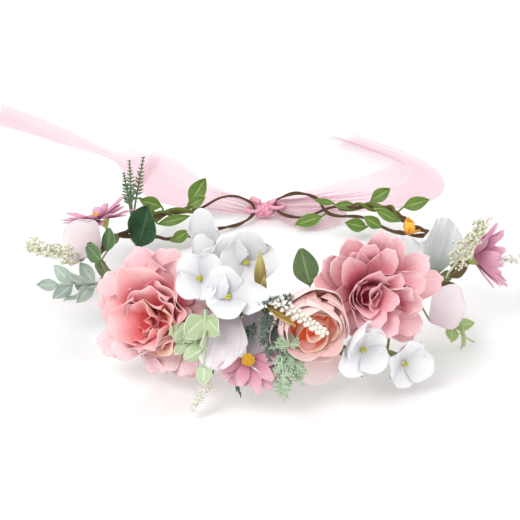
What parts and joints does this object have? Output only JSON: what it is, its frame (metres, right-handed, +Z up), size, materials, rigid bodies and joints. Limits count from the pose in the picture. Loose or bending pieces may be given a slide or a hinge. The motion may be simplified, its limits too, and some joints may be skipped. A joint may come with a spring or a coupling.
{
  "type": "flower crown",
  "caption": "Wearable flower crown: fabric blooms, leaves and sprays on an open wire ring, closed at the back by vine loops and a tied organza ribbon.",
  "frame": {"origin": "on the table plane, under the middle of the head opening, as the crown lies", "axes": "+Z up, front of the crown towards -Y, +X to the right as seen from the front"},
  "size_m": [0.3152, 0.3984, 0.0851],
  "materials": {
    "wire_wrap": "matt",
    "floral_tape": "matt",
    "vine": "matt",
    "vine_leaf": "satin",
    "coral_petal": "soft matt",
    "coral_heart": "soft matt",
    "dusty_petal": "soft matt",
    "dusty_heart": "soft matt",
    "blush_petal": "soft matt",
    "rose_heart": "soft matt",
    "white_petal": "soft matt",
    "lilac_petal": "soft matt",
    "cosmos_petal": "soft matt",
    "orchid_pink": "soft matt",
    "pale_petal": "soft matt",
    "veined_petal": "soft matt",
    "disc": "grainy",
    "floret_heart": "matt",
    "calyx": "matt",
    "stalk": "matt",
    "dark_leaf": "satin",
    "green_leaf": "satin",
    "sage_leaf": "powdery",
    "light_leaf": "matt",
    "brown_bud": "matt",
    "orange_bud": "soft matt",
    "berry": "satin",
    "frond": "powdery",
    "fern": "matt",
    "organza": "sheer"
  },
  "bodies": {
    "crown": {"core_wire": "wire_wrap", "tape_wraps": "floral_tape", "peony_outer_petals": "coral_petal", "peony_drop_petals": "coral_petal", "peony_middle_petals": "coral_petal", "peony_inner_petals": "coral_petal", "peony_heart": "coral_heart", "peony_calyx": "calyx", "dahlia_outer_petals": "dusty_petal", "dahlia_middle_petals": "dusty_petal", "dahlia_inner_petals": "dusty_petal", "dahlia_heart": "dusty_heart", "dahlia_calyx": "calyx", "rose_outer_petals": "blush_petal", "rose_inner_petals": "blush_petal", "rose_core": "rose_heart", "rose_guard_petal": "blush_petal", "rose_calyx": "calyx", "white_floret_petals": "white_petal", "lilac_floret_petals": "lilac_petal", "orchid_petals": "white_petal", "hydrangea_petals": "pale_petal", "floret_hearts": "floret_heart", "floret_stalks": "stalk", "cosmos_petals": "cosmos_petal", "cosmos_disc": "disc", "cosmos_calyx": "calyx", "veined_petals": "veined_petal", "pale_petal": "pale_petal", "dark_leaf": "dark_leaf", "sage_sprig_left": "sage_leaf", "sage_sprig_front": "sage_leaf", "green_leaves": "green_leaf", "light_green_sprig": "light_leaf", "brown_bud": "brown_bud", "orange_bud": "orange_bud", "berry_sprigs": "berry", "rosemary_fronds": "frond", "ribbon_knot": "organza", "ribbon_left_link": "organza", "ribbon_right_link": "organza", "ribbon_left_bow": "organza", "ribbon_right_bow": "organza", "ribbon_left_tail": "organza", "ribbon_right_tail": "organza"},
    "left_daisy": {"left_daisy_petals": "orchid_pink", "left_daisy_disc": "disc", "left_daisy_calyx": "calyx"},
    "right_daisy": {"right_daisy_petals": "orchid_pink", "right_daisy_disc": "disc", "right_daisy_calyx": "calyx"},
    "left_spray": {"left_spray": "berry"},
    "right_spray": {"right_spray": "berry"},
    "fern_sprig": {"fern_sprig": "fern"},
    "left_vine_arm": {"left_vine": "vine", "left_twist": "vine", "left_vine_leaves": "vine_leaf"},
    "right_vine_arm": {"right_vine": "vine", "right_twist": "vine", "right_vine_leaves": "vine_leaf"}
  },
  "joints": [
    {"name": "left_arm_flex", "type": "hinge", "parent": "crown", "child": "left_vine_arm", "pos_m": [-0.07013, 0.0536, 0.01354], "axis": [0, 0.1822, 0.9833], "range_deg": [0, 8], "deforming": ["ribbon_left_link"]},
    {"name": "right_arm_flex", "type": "hinge", "parent": "crown", "child": "right_vine_arm", "pos_m": [0.07013, 0.05369, 0.01403], "axis": [0, -0.1822, -0.9833], "range_deg": [0, 8], "deforming": ["ribbon_right_link"]},
    {"name": "left_daisy_bend", "type": "hinge", "parent": "crown", "child": "left_daisy", "pos_m": [-0.08887, 0.02341, 0.02066], "axis": [-0.2588, -0.9498, 0.176], "range_deg": [-10, 12]},
    {"name": "right_daisy_bend", "type": "hinge", "parent": "crown", "child": "right_daisy", "pos_m": [0.08946, -0.03183, 0.03192], "axis": [0, 0.1822, 0.9833], "range_deg": [-8, 8]},
    {"name": "left_spray_bend", "type": "hinge", "parent": "crown", "child": "left_spray", "pos_m": [-0.08999, -0.01881, 0.02849], "axis": [0.2079, -0.9618, 0.1783], "range_deg": [-8, 20]},
    {"name": "right_spray_bend", "type": "hinge", "parent": "crown", "child": "right_spray", "pos_m": [0.08047, -0.04386, 0.03313], "axis": [0.4848, 0.86, -0.1594], "range_deg": [-8, 8]},
    {"name": "fern_bend", "type": "hinge", "parent": "crown", "child": "fern_sprig", "pos_m": [-0.07886, 0.04736, 0.02049], "axis": [1, 0, 0], "range_deg": [-10, 12]}
  ],
  "couplings": [
    {"joint": "left_arm_flex", "follows": "right_arm_flex", "ratio": 1}
  ]
}
